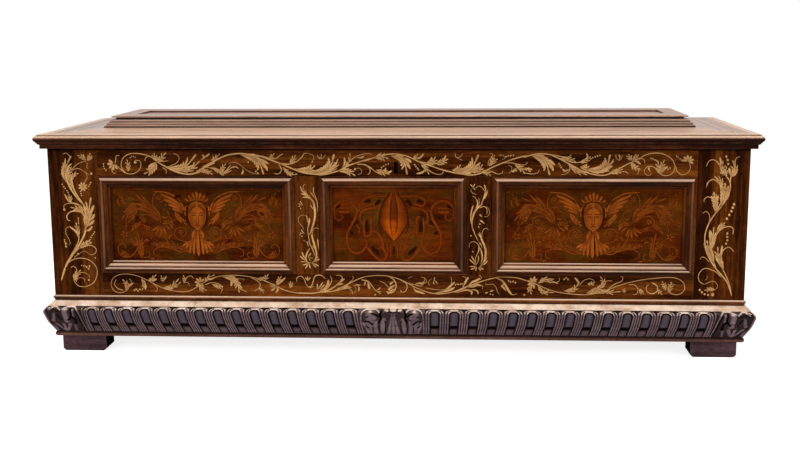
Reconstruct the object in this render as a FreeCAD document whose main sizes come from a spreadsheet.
import FreeCAD, Part
import os
import Sketcher
from types import SimpleNamespace

# A Renaissance-style cassone: a long panelled chest on a carved plinth, with a stepped, hinged lid
# Frame: X along the front, Y into the depth, Z up; the origin is on the floor, under the middle of the whole

# Driving sizes, in millimetres
SIZES = {
    # carcass
    "chest_width": 1844,
    "chest_depth": 560,
    "carcass_height": 506,
    "frame_thickness": 30,
    "stile_width": 133,
    "top_rail_height": 80,
    "bottom_rail_height": 163,
    "muntin_width": 69,
    "centre_opening_width": 386,
    "tenon_length": 40,
    "tenon_shoulder": 12,
    "muntin_tenon_length": 25,
    "groove_depth": 8,
    "panel_thickness": 12,
    "panel_setback": 9,
    "panel_play": 0.5,
    "panel_moulding_width": 32,
    "panel_moulding_rise": 21,
    "end_frame_thickness": 28,
    "end_stile_width": 80,
    "back_board_thickness": 22,
    "floor_board_thickness": 18,
    "floor_board_gap": 0.5,
    "cut_overrun": 5,
    # base
    "foot_height": 42,
    "foot_width": 120,
    "foot_depth": 70,
    "foot_side_inset": 14,
    "foot_front_inset": 2,
    "base_frame_height": 14,
    "base_frame_width": 70,
    "base_frame_reach": 4,
    "plinth_height": 86,
    "plinth_reach": 27,
    "plinth_bead_rise": 88,
    "plinth_bead_height": 12,
    "plinth_bead_reach": 4.5,
    # lid
    "lid_reach": 28,
    "lid_clearance": 1,
    "lid_lap": 6,
    "lid_board_thickness": 22,
    "lid_border_width": 170,
    "lid_border_thickness": 16.5,
    "tier_moulding_inset": 119,
    "tier_moulding_width": 51,
    "tier_moulding_height": 21,
    "upper_frame_inset": 135,
    "upper_frame_thickness": 9.5,
    "upper_frame_end_width": 50,
    "upper_frame_long_width": 80,
    "upper_panel_setback": 5,
    "batten_width": 60,
    "batten_thickness": 22,
    "batten_spacing": 330,
    "batten_end_gap": 18,
    # keyhole and lock
    "keyhole_offset": 9,
    "keyhole_width": 11,
    "keyhole_height": 34,
    "keyhole_rise": 22,
    "lock_case_left": 60,
    "lock_case_right": 80,
    "lock_case_depth": 26,
    "lock_case_height": 72,
    "lock_case_drop": 6,
    "lock_case_wall": 2.5,
    "lock_flange": 10,
    "lock_guide_left": 40,
    "lock_guide_right": 12,
    "bolt_length": 65,
    "bolt_width": 8,
    "bolt_height": 12,
    "bolt_drop": 18,
    "bolt_clearance": 0.3,
    "bolt_notch_width": 9,
    "bolt_notch_depth": 4,
    "staple_offset": 35,
    "staple_gap": 6,
    "staple_thickness": 5,
    "staple_width": 19,
    "staple_drop": 29,
    "staple_eye_width": 11,
    "staple_eye_height": 16,
    "staple_plate_length": 50,
    "staple_plate_thickness": 3,
    "staple_slot_clearance": 2,
    # strap hinges
    "hinge_spacing": 640,
    "hinge_width": 36,
    "hinge_plate_thickness": 3,
    "strap_length": 240,
    "leaf_length": 160,
    "knuckle_radius": 6,
    "knuckle_length": 12,
    "knuckle_gap": 0.5,
    "pin_radius": 3,
    "pin_clearance": 0.05,
    "pin_head_radius": 4.5,
    "pin_head_length": 2,
    "nail_radius": 1.8,
    "nail_clearance": 0.05,
    "nail_depth": 16,
    "nail_head_radius": 4.5,
    "nail_head_height": 2,
}

FLOOR_BOARDS = 3
HINGES = (-1, 0, 1)

# Moulding sections. Each corner is a share of the section's width and of its height;
# two more shares give a point that the rounded edge leading to that corner passes through.
PANEL_MOULDING_SHARES = [
    (0, 0), (1, 0), (1, 0.17), (0.88, 0.36, 0.97, 0.31), (0.80, 0.36), (0.55, 0.74, 0.72, 0.62),
    (0.49, 0.74), (0.49, 0.84), (0.24, 0.84, 0.365, 1.0), (0.10, 0.62, 0.20, 0.66), (0, 0.62),
]
PLINTH_SHARES = [
    (0, 0), (0.04, 0), (0.92, 0.58, 0.57, 0.29), (1, 0.67), (0.91, 0.78, 0.985, 0.73), (0.79, 0.82),
    (0.66, 0.84), (0.08, 1), (0, 1),
]
BEAD_SHARES = [(0, 0), (0.4, 0), (0.5, 0.36), (1, 0.46), (0.4, 1, 0.9, 0.78), (0, 1)]
BASE_FRAME_SHARES = [(0.06, 0, 0, 0.5), (1, 0), (1, 1), (0.06, 1)]
LID_EDGE_SHARES = [
    (0, 0), (0.52, 0), (0.52, 0.28), (0.70, 0.345, 0.60, 0.29), (0.72, 0.40), (0.80, 0.41), (0.80, 0.47),
    (0.85, 0.50), (0.84, 0.90, 1, 0.705), (0.74, 0.90), (0.74, 0.93), (0.70, 1), (0, 1),
]
LID_RIM_SHARE = 0.58
LID_BORDER_SHARES = [
    (0, 0), (1, 0), (1, 1), (0.70, 1), (0.395, 0.817), (0.39, 0.72), (0.378, 0.72), (0.373, 0.804),
    (0.228, 0.717), (0.223, 0.62), (0.211, 0.62), (0.206, 0.704), (0.146, 0.668), (0.141, 0.57),
    (0.129, 0.57), (0.124, 0.654), (0, LID_RIM_SHARE),
]
TIER_MOULDING_SHARES = [
    (0.03, 0, 0, 0.14), (1, 0), (1, 1), (0.35, 1), (0.235, 0.62, 0.265, 0.86), (0.12, 0.46, 0.15, 0.58),
    (0.10, 0.30), (0.065, 0.28),
]
UPPER_FRAME_SHARES = [
    (0.19, 0), (1, 0), (1, 1), (0.04, 1), (0, 0.62, 0.012, 0.86), (0.07, 0.5), (0.19, 0.5),
]
FOOT_SHARES = [(0.06, 0), (0.94, 0), (1, 0.16), (1, 1), (0, 1), (0, 0.16)]
NAIL_SHARES = (0.2, 0.55, 0.9)

X, Y, Z = FreeCAD.Vector(1, 0, 0), FreeCAD.Vector(0, 1, 0), FreeCAD.Vector(0, 0, 1)

doc = FreeCAD.newDocument("Cassone")
sheet = doc.addObject("Spreadsheet::Sheet", "Sizes")
for row, (size_name, millimetres) in enumerate(SIZES.items(), start=1):
    sheet.set(f"A{row}", size_name)
    sheet.set(f"B{row}", str(millimetres))
    sheet.setAlias(f"B{row}", size_name)
doc.recompute()


class Size:
    """A length that knows its value and the expression that gives it from the sheet."""

    def __init__(self, value, text):
        self.value = value
        self.text = text

    def __add__(self, other):
        other = as_size(other)
        return Size(self.value + other.value, f"({self.text} + {other.text})")

    def __radd__(self, other):
        return as_size(other) + self

    def __sub__(self, other):
        other = as_size(other)
        return Size(self.value - other.value, f"({self.text} - {other.text})")

    def __rsub__(self, other):
        return as_size(other) - self

    def __mul__(self, factor):
        factor = as_size(factor)
        return Size(self.value * factor.value, f"({self.text} * {factor.text})")

    def __truediv__(self, divisor):
        divisor = as_size(divisor)
        return Size(self.value / divisor.value, f"({self.text} / {divisor.text})")

    def __neg__(self):
        return self * -1


def as_size(thing):
    return thing if isinstance(thing, Size) else Size(float(thing), str(thing))


S = SimpleNamespace(**{name: Size(float(sheet.get(name)), f"Sizes.{name}") for name in SIZES})

# Places that several sub-parts share
half = S.chest_width / 2
knuckle_reach = S.knuckle_radius * 2
front = S.lid_reach - (S.lid_reach + S.chest_depth + knuckle_reach) / 2
back = front + S.chest_depth
bottom = S.foot_height + S.base_frame_height
top = bottom + S.carcass_height
frame_back = front + S.frame_thickness
opening_low = bottom + S.bottom_rail_height
opening_high = top - S.top_rail_height
opening_half = half - S.stile_width
groove = (front + S.panel_setback, front + S.panel_setback + S.panel_thickness)
muntin_inner = S.centre_opening_width / 2
muntin_outer = muntin_inner + S.muntin_width
nodes = []


def bind(item, prop, size):
    """Ties a property to the sheet; a bare zero needs no tie."""
    if isinstance(size, Size):
        item.setExpression(prop, size.text)


def put_at(item, point, rotation=FreeCAD.Rotation()):
    """Gives an object its rotation and a place tied to the sheet."""
    item.Placement = FreeCAD.Placement(FreeCAD.Vector(), rotation)
    for axis, size in zip("xyz", point):
        bind(item, f"Placement.Base.{axis}", size)


def along(point, direction, distance):
    """The point moved along a signed axis direction."""
    return tuple(c + distance * round(d) if round(d) else c for c, d in zip(point, direction))


def box(label, x, y, z):
    """Block between pairs of low and high coordinates."""
    block = doc.addObject("Part::Box", label)
    for prop, (low, high) in zip(("Length", "Width", "Height"), (x, y, z)):
        bind(block, prop, as_size(high) - low)
    put_at(block, (x[0], y[0], z[0]))
    return block


def rod(label, start, direction, radius, length):
    """Cylinder from a start point along a direction."""
    cylinder = doc.addObject("Part::Cylinder", label)
    bind(cylinder, "Radius", radius)
    bind(cylinder, "Height", length)
    put_at(cylinder, start, FreeCAD.Rotation(Z, direction))
    return cylinder


def fuse(label, pieces):
    joined = doc.addObject("Part::MultiFuse", label)
    joined.Shapes = pieces
    return joined


def group(label, pieces):
    """Separate solids that share one node."""
    together = doc.addObject("Part::Compound", label)
    together.Links = pieces
    return together


def cut(label, base, tools):
    """The base less one or more tools."""
    remains = doc.addObject("Part::Cut", label)
    remains.Base = base
    remains.Tool = tools[0] if len(tools) == 1 else group(f"{label}_tools", tools)
    return remains


def keep(item, label):
    """Lists an object as a finished sub-part under its own name."""
    item.Label = label
    nodes.append(item)
    return item


def plane(body, role):
    return [feature for feature in body.Origin.OriginFeatures if feature.Role == role][0]


def pin_point(sketch, edge, end, across, up):
    """Ties a sketch point to its distances from the sketch's origin; a bare zero puts it on the axis."""
    for size, kind, other_axis in ((across, "DistanceX", -2), (up, "DistanceY", -1)):
        if isinstance(size, Size):
            index = sketch.addConstraint(Sketcher.Constraint(kind, -1, 1, edge, end, size.value))
            sketch.setExpression(f"Constraints[{index}]", size.text)
        else:
            sketch.addConstraint(Sketcher.Constraint("PointOnObject", edge, end, other_axis))


def value_of(size):
    return as_size(size).value


def outline(body, role, name, corners):
    """Closed sketch on one of the body's planes. A corner with four sizes is reached by an arc
    that passes through the point given by the last two."""
    sketch = body.newObject("Sketcher::SketchObject", name)
    sketch.AttachmentSupport = (plane(body, role), [""])
    sketch.MapMode = "FlatFace"
    points = [FreeCAD.Vector(value_of(c[0]), value_of(c[1]), 0) for c in corners]
    for index, corner in enumerate(corners):
        start, end = points[index - 1], points[index]
        if len(corner) == 4:
            through = FreeCAD.Vector(value_of(corner[2]), value_of(corner[3]), 0)
            edge = sketch.addGeometry(Part.Arc(start, through, end), False)
            mark = sketch.addGeometry(Part.Point(through), True)
            pin_point(sketch, mark, 1, corner[2], corner[3])
            sketch.addConstraint(Sketcher.Constraint("PointOnObject", mark, 1, edge))
        else:
            edge = sketch.addGeometry(Part.LineSegment(start, end), False)
        starts_here = (sketch.getPoint(edge, 1) - start).Length < (sketch.getPoint(edge, 2) - start).Length
        for place, sizes in ((1, corners[index - 1]), (2, corner)) if starts_here else (
                (2, corners[index - 1]), (1, corner)):
            pin_point(sketch, edge, place, sizes[0], sizes[1])
    return sketch


def scaled(size, share):
    """A size times a share, with a share of nothing left as a bare zero."""
    return size * share if share else 0


def section(shares, width, height):
    """Corners of a section from its shares."""
    return [tuple(scaled(width if place % 2 == 0 else height, share) for place, share in enumerate(corner))
            for corner in shares]


def strip(label, start, across, up, length, shares, width, height, slopes=(0, 0), lean=None):
    """Moulded strip whose section is set by shares of its width and height. It runs along across x up from
    its start. A slope of -1 mitres an end of an inside frame, 1 an end of a moulding round the outside,
    and 0 leaves the end square. The lean is how far a mitre runs along the strip, usually its width."""
    lean = lean or width
    body = doc.addObject("PartDesign::Body", label)
    profile = outline(body, "YZ_Plane", f"{label}_section", section(shares, width, height))
    pad = body.newObject("PartDesign::Pad", f"{label}_pad")
    pad.Profile = profile
    grow = [lean if slope > 0 else 0 for slope in slopes]
    run = length + grow[0] + grow[1]
    bind(pad, "Length", run)
    tip = pad
    for end, slope in enumerate(slopes):
        if not slope:
            continue
        outer = 0 if end == 0 else run
        inner = lean if end == 0 else run - lean
        side = 0 if slope > 0 else width
        corners = [(outer, 0), (inner, side), (outer, width)]
        mitre = outline(body, "XY_Plane", f"{label}_mitre_{end + 1}", corners)
        tip = body.newObject("PartDesign::Pocket", f"{label}_mitre_cut_{end + 1}")
        tip.Profile = mitre
        tip.Type = "ThroughAll"
        tip.Reversed = True
    body.Tip = tip
    run_direction = across.cross(up)
    put_at(body, along(start, run_direction, -as_size(grow[0])), FreeCAD.Rotation(run_direction, across, up, "XYZ"))
    return body


def mitred_frame(labels, level, first, second, normal, reach, shares, widths, height):
    """Four mitred strips inside a rectangle. The rectangle spans the pair of sizes 'reach[0]' along the first
    direction and 'reach[1]' along the second; widths are those of the first and second pair of strips."""
    (low_1, high_1), (low_2, high_2) = reach
    corners = [(low_1, low_2), (high_1, low_2), (high_1, high_2), (low_1, high_2)]
    across = [second, -first, -second, first]
    lengths = [high_1 - low_1, high_2 - low_2] * 2
    strips = []
    for side, (corner, inward, length) in enumerate(zip(corners, across, lengths)):
        start = along(along(level, first, corner[0]), second, corner[1])
        width, other = widths[side % 2], widths[(side + 1) % 2]
        strips.append(strip(labels[side], start, inward, normal, length, shares, width, height, (-1, -1), other))
    return strips


def round_the_front(labels, standoff, height_above, shares, width, height):
    """Front, left and right strips round the outside of the carcass, mitred at the front corners."""
    outer, forward = half + standoff, front - standoff
    depth = back - forward
    return [
        strip(labels[0], (outer, forward, height_above), -Y, Z, outer * 2, shares, width, height, (1, 1)),
        strip(labels[1], (-outer, forward, height_above), -X, Z, depth, shares, width, height, (1, 0)),
        strip(labels[2], (outer, back, height_above), X, Z, depth, shares, width, height, (0, 1)),
    ]


# Front frame: two corner stiles, two rails and two muntins, joined by tenons and grooved for the panels
def mortise(label, x, z):
    return box(label, x, groove, z)


top_tenon = (opening_high + S.tenon_shoulder, top - S.tenon_shoulder)
bottom_tenon = (bottom + S.tenon_shoulder, opening_low - S.tenon_shoulder)
groove_half = opening_half + S.groove_depth
tenon_half = opening_half + S.tenon_length
panel_groove_z = (opening_low - S.groove_depth, opening_high + S.groove_depth)


def corner_stile(label, side):
    low, high = (-half, -opening_half) if side < 0 else (opening_half, half)
    blank = box(f"{label}_blank", (low, high), (front, frame_back), (bottom, top))

    def inward(reach):
        return (-reach, -opening_half) if side < 0 else (opening_half, reach)

    tools = [
        mortise(f"{label}_top_mortise", inward(tenon_half), top_tenon),
        mortise(f"{label}_bottom_mortise", inward(tenon_half), bottom_tenon),
        mortise(f"{label}_groove", inward(groove_half), panel_groove_z),
    ]
    keep(cut(label, blank, tools), label)


def rail(label, z, tenon, groove_z, muntin_z, extra_tools=()):
    """Rail between the stiles, with its tenons, the groove for the panels and the muntins' mortises."""
    core = box(f"{label}_blank", (-opening_half, opening_half), (front, frame_back), z)
    tenons = mortise(f"{label}_tenons", (-tenon_half, tenon_half), tenon)
    blank = fuse(f"{label}_with_tenons", [core, tenons])
    tools = [mortise(f"{label}_groove", (-opening_half, opening_half), groove_z)]
    for side in (-1, 1):
        inner, outer = muntin_inner + S.tenon_shoulder, muntin_outer - S.tenon_shoulder
        reach = (-outer, -inner) if side < 0 else (inner, outer)
        tools.append(mortise(f"{label}_mortise", reach, muntin_z))
    keep(cut(label, blank, tools + list(extra_tools)), label)


def keyhole():
    """Upright slot with round ends, through the top rail."""
    x = S.keyhole_offset
    z = opening_high + S.keyhole_rise
    radius = S.keyhole_width / 2
    straight = S.keyhole_height / 2 - radius
    y = (front - S.cut_overrun, frame_back + S.cut_overrun)
    pieces = [box("keyhole_slot", (x - radius, x + radius), y, (z - straight, z + straight))]
    for side in (-1, 1):
        pieces.append(rod("keyhole_end", (x, y[0], z + straight * side), Y, radius, y[1] - y[0]))
    return [fuse("keyhole_cut", pieces)]


corner_stile("front_stile_left", -1)
corner_stile("front_stile_right", 1)
rail("front_top_rail", (opening_high, top), top_tenon, (opening_high, opening_high + S.groove_depth),
     (opening_high, opening_high + S.muntin_tenon_length), keyhole())
rail("front_bottom_rail", (bottom, opening_low), bottom_tenon, (opening_low - S.groove_depth, opening_low),
     (opening_low - S.muntin_tenon_length, opening_low))


def muntin(label, side):
    def span(inner, outer):
        return (-outer, -inner) if side < 0 else (inner, outer)

    core = box(f"{label}_blank", span(muntin_inner, muntin_outer), (front, frame_back), (opening_low, opening_high))
    tenon_z = (opening_low - S.muntin_tenon_length, opening_high + S.muntin_tenon_length)
    tenon_x = span(muntin_inner + S.tenon_shoulder, muntin_outer - S.tenon_shoulder)
    blank = fuse(f"{label}_with_tenons", [core, mortise(f"{label}_tenons", tenon_x, tenon_z)])
    tools = [
        mortise(f"{label}_inner_groove", span(muntin_inner, muntin_inner + S.groove_depth), (opening_low, opening_high)),
        mortise(f"{label}_outer_groove", span(muntin_outer - S.groove_depth, muntin_outer), (opening_low, opening_high)),
    ]
    keep(cut(label, blank, tools), label)


muntin("front_muntin_left", -1)
muntin("front_muntin_right", 1)

# Front panels, let into the grooves, and the raised mouldings planted round them
panel_level = front + S.panel_setback
panel_inset = S.groove_depth - S.panel_play
panel_z = (opening_low - S.groove_depth, opening_high + panel_inset)
front_openings = {
    "left": (-opening_half, -muntin_outer),
    "centre": (-muntin_inner, muntin_inner),
    "right": (muntin_outer, opening_half),
}


def four_sides(label):
    return [f"{label}_{side}" for side in ("bottom", "right", "top", "left")]


for name, (low, high) in front_openings.items():
    keep(box(f"front_panel_{name}", (low - panel_inset, high + panel_inset), groove, panel_z), f"front_panel_{name}")
    label = f"front_panel_moulding_{name}"
    strips = mitred_frame(four_sides(label), (0, panel_level, 0), X, Z, -Y,
                          ((low, high), (opening_low, opening_high)),
                          PANEL_MOULDING_SHARES, (S.panel_moulding_width,) * 2, S.panel_moulding_rise)
    keep(group(label, strips), label)

# Ends: each a frame of two stiles and two rails round one panel
back_face = back - S.back_board_thickness
end_opening = (frame_back + S.end_stile_width, back_face - S.end_stile_width)


def end_frame(name, side):
    def depth(near, far):
        """X range between two distances in from the carcass's outer end face."""
        return (-half + near, -half + far) if side < 0 else (half - far, half - near)

    thick = depth(0, S.end_frame_thickness)
    slot = depth(S.panel_setback, S.panel_setback + S.panel_thickness)
    label = f"end_{name}"
    y_low, y_high = end_opening
    for place, y, inward in (("front", (frame_back, y_low), -1), ("rear", (y_high, back_face), 1)):
        part_label = f"{label}_{place}_stile"
        blank = box(f"{part_label}_blank", thick, y, (bottom, top))
        edge = y_low if inward < 0 else y_high

        def reach(distance):
            return (edge - distance, edge) if inward < 0 else (edge, edge + distance)

        tools = [
            box(f"{part_label}_top_mortise", slot, reach(S.tenon_length), top_tenon),
            box(f"{part_label}_bottom_mortise", slot, reach(S.tenon_length), bottom_tenon),
            box(f"{part_label}_groove", slot, reach(S.groove_depth), panel_groove_z),
        ]
        keep(cut(part_label, blank, tools), part_label)
    for place, z, tenon, groove_z in (
            ("top", (opening_high, top), top_tenon, (opening_high, opening_high + S.groove_depth)),
            ("bottom", (bottom, opening_low), bottom_tenon, (opening_low - S.groove_depth, opening_low))):
        part_label = f"{label}_{place}_rail"
        core = box(f"{part_label}_blank", thick, end_opening, z)
        tenons = box(f"{part_label}_tenons", slot, (y_low - S.tenon_length, y_high + S.tenon_length), tenon)
        blank = fuse(f"{part_label}_with_tenons", [core, tenons])
        keep(cut(part_label, blank, [box(f"{part_label}_groove", slot, end_opening, groove_z)]), part_label)
    panel_y = (y_low - panel_inset, y_high + panel_inset)
    keep(box(f"{label}_panel", slot, panel_y, panel_z), f"{label}_panel")
    level = ((half - S.panel_setback) * side, 0, 0)
    reach_y = (-y_high, -y_low) if side < 0 else end_opening
    strips = mitred_frame(four_sides(f"{label}_panel_moulding"), level, Y * side, Z, X * side,
                          (reach_y, (opening_low, opening_high)),
                          PANEL_MOULDING_SHARES, (S.panel_moulding_width,) * 2, S.panel_moulding_rise)
    keep(group(f"{label}_panel_moulding", strips), f"{label}_panel_moulding")


end_frame("left", -1)
end_frame("right", 1)

# Strap hinges: the axis lies behind the back, just below the underside of the lid
hinge_axis_y = back + S.knuckle_radius
hinge_axis_z = top + S.hinge_plate_thickness - S.knuckle_radius
leaf_half = S.hinge_width / 2
tongue_half = S.knuckle_length / 2
bore_radius = S.pin_radius + S.pin_clearance
hinge_places = [S.hinge_spacing * place for place in HINGES]


def nail_holes(label, starts, direction):
    return [rod(label, start, direction, S.nail_radius + S.nail_clearance, S.nail_depth + S.hinge_plate_thickness)
            for start in starts]


def nail(label, start, direction):
    """Wrought nail: a shank through the plate into the wood, and a round head on the plate."""
    shank = rod(f"{label}_shank", start, direction, S.nail_radius, S.nail_depth + S.hinge_plate_thickness)
    head = rod(f"{label}_head", start, -direction, S.nail_head_radius, S.nail_head_height)
    return fuse(label, [shank, head])


leaf_face = back + S.hinge_plate_thickness
leaf_nails = [(x, leaf_face, hinge_axis_z - S.leaf_length * share) for x in hinge_places for share in NAIL_SHARES]
strap_nails = [(x, back - S.strap_length * share, top) for x in hinge_places for share in NAIL_SHARES]


def hinge_leaf(x):
    plate = box("leaf_plate", (x - leaf_half, x + leaf_half), (back, leaf_face),
                (hinge_axis_z - S.leaf_length, hinge_axis_z))
    notch_half = tongue_half + S.knuckle_gap
    notch = box("leaf_notch", (x - notch_half, x + notch_half), (back - S.cut_overrun, leaf_face + S.cut_overrun),
                (hinge_axis_z - S.knuckle_radius - S.knuckle_gap, hinge_axis_z + S.cut_overrun))
    knuckles = [rod("leaf_knuckle", (start, hinge_axis_y, hinge_axis_z), X, S.knuckle_radius, leaf_half - notch_half)
                for start in (x - leaf_half, x + notch_half)]
    bore = rod("leaf_bore", (x - leaf_half, hinge_axis_y, hinge_axis_z), X, bore_radius, S.hinge_width)
    solid = fuse("leaf_blank", [cut("leaf_notched", plate, [notch])] + knuckles)
    holes = nail_holes("leaf_nail_hole", [n for n in leaf_nails if n[0] is x], -Y)
    return cut("hinge_leaf", solid, [bore] + holes)


def hinge_strap(x):
    strap_z = (top, top + S.hinge_plate_thickness)
    plate_end = back - S.knuckle_gap
    plate = box("strap_plate", (x - leaf_half, x + leaf_half), (back - S.strap_length, plate_end), strap_z)
    tongue = box("strap_tongue", (x - tongue_half, x + tongue_half), (plate_end, hinge_axis_y), strap_z)
    knuckle = rod("strap_knuckle", (x - tongue_half, hinge_axis_y, hinge_axis_z), X, S.knuckle_radius,
                  S.knuckle_length)
    bore = rod("strap_bore", (x - tongue_half, hinge_axis_y, hinge_axis_z), X, bore_radius, S.knuckle_length)
    holes = nail_holes("strap_nail_hole", [n for n in strap_nails if n[0] is x], Z)
    return cut("hinge_strap", fuse("strap_blank", [plate, tongue, knuckle]), [bore] + holes)


def hinge_pin(x):
    start = x - leaf_half
    shaft = rod("pin_shaft", (start, hinge_axis_y, hinge_axis_z), X, S.pin_radius, S.hinge_width)
    heads = [rod("pin_head", (place, hinge_axis_y, hinge_axis_z), direction, S.pin_head_radius, S.pin_head_length)
             for place, direction in ((start, -X), (x + leaf_half, X))]
    return fuse("hinge_pin", [shaft] + heads)


keep(group("hinge_leaves", [hinge_leaf(x) for x in hinge_places]), "hinge_leaves")
keep(group("hinge_straps", [hinge_strap(x) for x in hinge_places]), "hinge_straps")
keep(group("hinge_pins", [hinge_pin(x) for x in hinge_places]), "hinge_pins")
keep(group("hinge_leaf_nails", [nail("leaf_nail", start, -Y) for start in leaf_nails]), "hinge_leaf_nails")
keep(group("hinge_strap_nails", [nail("strap_nail", start, Z) for start in strap_nails]), "hinge_strap_nails")

# Back boards and floor boards
middle = (bottom + top) / 2
keep(box("back_board_lower", (-half, half), (back_face, back), (bottom, middle)), "back_board_lower")
upper_back = box("back_board_upper_blank", (-half, half), (back_face, back), (middle, top))
keep(cut("back_board_upper", upper_back, nail_holes("back_nail_hole", leaf_nails, -Y)), "back_board_upper")

floor_half = half - S.end_frame_thickness
floor_board_depth = (back_face - frame_back) / FLOOR_BOARDS
floor_boards = []
for number in range(FLOOR_BOARDS):
    board_y = (frame_back + floor_board_depth * number, frame_back + floor_board_depth * (number + 1) - S.floor_board_gap)
    floor_boards.append(box("floor_board", (-floor_half, floor_half), board_y,
                            (bottom, bottom + S.floor_board_thickness)))
keep(group("floor_boards", floor_boards), "floor_boards")

# Base: a moulded frame under the carcass, the carved plinth with its bead, and four block feet
frame_reach = ((-half - S.base_frame_reach, half + S.base_frame_reach),
               (front - S.base_frame_reach, back + S.base_frame_reach))
base_strips = mitred_frame(four_sides("base_frame"), (0, 0, S.foot_height), X, Y, Z, frame_reach,
                           BASE_FRAME_SHARES, (S.base_frame_width,) * 2, S.base_frame_height)
keep(group("base_frame", base_strips), "base_frame")

plinth_labels = ["plinth_front", "plinth_left", "plinth_right"]
for label, piece in zip(plinth_labels, round_the_front(plinth_labels, 0, bottom, PLINTH_SHARES,
                                                       S.plinth_reach, S.plinth_height)):
    keep(piece, label)
bead_labels = ["plinth_bead_front", "plinth_bead_left", "plinth_bead_right"]
keep(group("plinth_bead", round_the_front(bead_labels, 0, bottom + S.plinth_bead_rise, BEAD_SHARES,
                                          S.plinth_bead_reach, S.plinth_bead_height)), "plinth_bead")

for end_name, side in (("left", -1), ("right", 1)):
    foot_outer = half - S.foot_side_inset
    left_edge = -foot_outer if side < 0 else foot_outer - S.foot_width
    foot_front = front + S.foot_front_inset
    foot_back = back - S.foot_front_inset
    for place, y_end in (("front", foot_front + S.foot_depth), ("rear", foot_back)):
        label = f"foot_{place}_{end_name}"
        keep(strip(label, (left_edge, y_end, 0), X, Z, S.foot_depth, FOOT_SHARES, S.foot_width, S.foot_height), label)

# Lid: two boards, moulded edge, mitred border, stepped moulding and the upper tier with its sunken panel
lid_top = top + S.lid_board_thickness
middle_y = (front + back) / 2
lid_half = half + S.lid_clearance
lid_front = front - S.lid_clearance
strap_tools = [box("strap_recess", (x - leaf_half, x + leaf_half), (back - S.strap_length, back + S.cut_overrun),
                   (top - S.cut_overrun, top + S.hinge_plate_thickness)) for x in hinge_places]
strap_tools += nail_holes("lid_nail_hole", strap_nails, Z)
lid_blanks = [box("lid_board_blank", (-lid_half, lid_half), board_y, (top, lid_top))
              for board_y in ((lid_front, middle_y), (middle_y, back))]
keep(group("lid_boards", [cut("lid_board", blank, strap_tools) for blank in lid_blanks]), "lid_boards")

border_top = lid_top + S.lid_border_thickness
lid_edge_bottom = top - S.lid_lap
lid_edge_height = lid_top + S.lid_border_thickness * LID_RIM_SHARE - lid_edge_bottom
lid_edge_labels = ["lid_edge_front", "lid_edge_left", "lid_edge_right"]
for label, piece in zip(lid_edge_labels, round_the_front(
        lid_edge_labels, S.lid_clearance, lid_edge_bottom, LID_EDGE_SHARES, S.lid_reach - S.lid_clearance,
        lid_edge_height)):
    keep(piece, label)

border_labels = ["lid_border_front", "lid_border_right", "lid_border_rear", "lid_border_left"]
for label, piece in zip(border_labels, mitred_frame(
        border_labels, (0, 0, lid_top), X, Y, Z, ((-lid_half, lid_half), (lid_front, back)),
        LID_BORDER_SHARES, (S.lid_border_width,) * 2, S.lid_border_thickness)):
    keep(piece, label)


def inset_rectangle(inset):
    return ((-half + inset, half - inset), (front + inset, back - inset))


tier_strips = mitred_frame(four_sides("tier_moulding"), (0, 0, border_top), X, Y, Z,
                           inset_rectangle(S.tier_moulding_inset), TIER_MOULDING_SHARES,
                           (S.tier_moulding_width,) * 2, S.tier_moulding_height)
keep(group("tier_moulding", tier_strips), "tier_moulding")

tier_top = border_top + S.tier_moulding_height
frame_top = tier_top + S.upper_frame_thickness
upper_labels = ["upper_frame_front", "upper_frame_right", "upper_frame_rear", "upper_frame_left"]
upper_strips = mitred_frame([f"{label}_blank" for label in upper_labels], (0, 0, tier_top), X, Y, Z,
                            inset_rectangle(S.upper_frame_inset), UPPER_FRAME_SHARES,
                            (S.upper_frame_long_width, S.upper_frame_end_width), S.upper_frame_thickness)
panel_half = half - S.upper_frame_inset - S.upper_frame_end_width + S.groove_depth
panel_y = (front + S.upper_frame_inset + S.upper_frame_long_width - S.groove_depth,
           back - S.upper_frame_inset - S.upper_frame_long_width + S.groove_depth)
upper_panel_z = (tier_top, frame_top - S.upper_panel_setback)
for label, blank in zip(upper_labels, upper_strips):
    rebate = box(f"{label}_rebate", (-panel_half, panel_half), panel_y, (tier_top - S.cut_overrun, upper_panel_z[1]))
    keep(cut(label, blank, [rebate]), label)
keep(box("upper_panel", (-panel_half, panel_half), panel_y, upper_panel_z), "upper_panel")

battens = [box("lid_batten", (x - S.batten_width / 2, x + S.batten_width / 2),
               (frame_back + S.batten_end_gap, back_face - S.batten_end_gap), (top - S.batten_thickness, top))
           for x in (-S.batten_spacing, S.batten_spacing)]
keep(group("lid_battens", battens), "lid_battens")

# Lock: an iron case inside the top rail, a bolt that slides along the front, and a staple under the lid
key_x = S.keyhole_offset
case_top = top - S.lock_case_drop
case_bottom = case_top - S.lock_case_height
case_x = (key_x - S.lock_case_left, key_x + S.lock_case_right)
case_back = frame_back + S.lock_case_depth
bolt_y = frame_back + S.lock_case_depth / 2
bolt_z = top - S.bolt_drop
staple_x = key_x + S.staple_offset
wall = S.lock_case_wall


def slot_for_bolt(label, x, clearance):
    y_half = S.bolt_width / 2 + clearance
    z_half = S.bolt_height / 2 + clearance
    return box(label, x, (bolt_y - y_half, bolt_y + y_half), (bolt_z - z_half, bolt_z + z_half))


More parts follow.
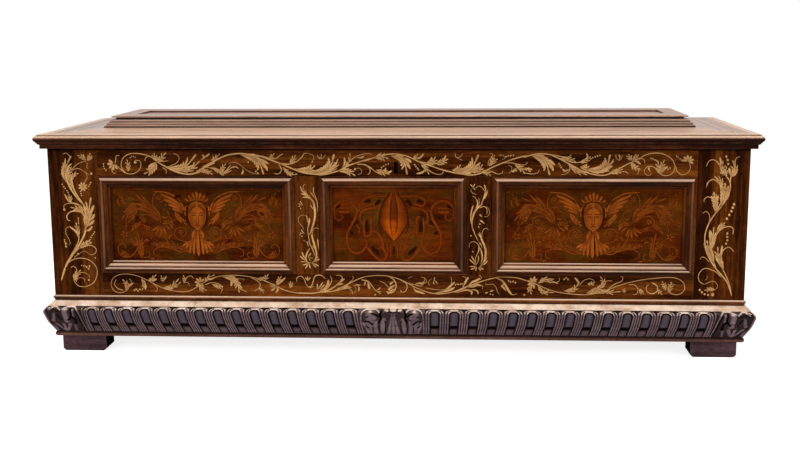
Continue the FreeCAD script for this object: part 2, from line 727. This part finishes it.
def lock_case():
    shell = box("case_shell", case_x, (frame_back, case_back), (case_bottom, case_top))
    flange = box("case_flange", (case_x[0] - S.lock_flange, case_x[1] + S.lock_flange),
                 (frame_back, frame_back + wall), (case_bottom, case_top))
    hollow = box("case_hollow", (case_x[0] + wall, case_x[1] - wall), (frame_back - S.cut_overrun, case_back - wall),
                 (case_bottom + wall, case_top - wall))
    hollow_case = cut("case_hollowed", fuse("case_blank", [shell, flange]), [hollow])
    guides = []
    for place in (key_x - S.lock_guide_left, key_x + S.lock_guide_right):
        plate = box("bolt_guide", (place, place + wall), (frame_back, case_back - wall),
                    (bolt_z - S.bolt_height, case_top - wall))
        guides.append(cut("bolt_guide_pierced", plate,
                          [slot_for_bolt("guide_hole", (place - wall, place + wall * 2), S.bolt_clearance)]))
    mouth_x = S.staple_thickness / 2 + S.staple_slot_clearance
    mouth_y = S.staple_width / 2 + S.staple_slot_clearance
    mouth = box("staple_mouth", (staple_x - mouth_x, staple_x + mouth_x), (bolt_y - mouth_y, bolt_y + mouth_y),
                (case_top - wall * 2, case_top + S.cut_overrun))
    return cut("lock_case", fuse("case_with_guides", [hollow_case] + guides), [mouth])


keep(lock_case(), "lock_case")

bolt_end = staple_x - S.staple_thickness / 2 - S.staple_gap
bolt_blank = slot_for_bolt("bolt_bar", (bolt_end - S.bolt_length, bolt_end), 0)
notch_x = (key_x - S.bolt_notch_width / 2, key_x + S.bolt_notch_width / 2)
notch = box("bolt_talon", notch_x, (bolt_y - S.bolt_width, bolt_y + S.bolt_width),
            (bolt_z - S.bolt_height, bolt_z - S.bolt_height / 2 + S.bolt_notch_depth))
keep(cut("lock_bolt", bolt_blank, [notch]), "lock_bolt")

staple_blade = box("staple_blade", (staple_x - S.staple_thickness / 2, staple_x + S.staple_thickness / 2),
                   (bolt_y - S.staple_width / 2, bolt_y + S.staple_width / 2), (top - S.staple_drop, top))
staple_plate = box("staple_plate", (staple_x - S.staple_plate_length / 2, staple_x + S.staple_plate_length / 2),
                   (bolt_y - S.staple_width / 2, bolt_y + S.staple_width / 2), (top - S.staple_plate_thickness, top))
eye = box("staple_eye", (staple_x - S.staple_thickness, staple_x + S.staple_thickness),
          (bolt_y - S.staple_eye_width / 2, bolt_y + S.staple_eye_width / 2),
          (bolt_z - S.staple_eye_height / 2, bolt_z + S.staple_eye_height / 2))
keep(cut("lock_staple", fuse("staple_blank", [staple_blade, staple_plate]), [eye]), "lock_staple")

doc.recompute()

# Checks, then one file for each sub-part
for item in doc.Objects:
    if "Invalid" in item.State or "Error" in item.State:
        raise RuntimeError(f"{item.Label} did not build: {item.State}")
for item in nodes:
    if item.Shape.isNull() or not item.Shape.isValid() or not item.Shape.Solids:
        raise RuntimeError(f"{item.Label} has no valid solid")
os.makedirs("parts", exist_ok=True)
for item in nodes:
    item.Shape.exportStep(os.path.join("parts", f"{item.Label}.step"))
print(len(nodes), "sub-parts written")
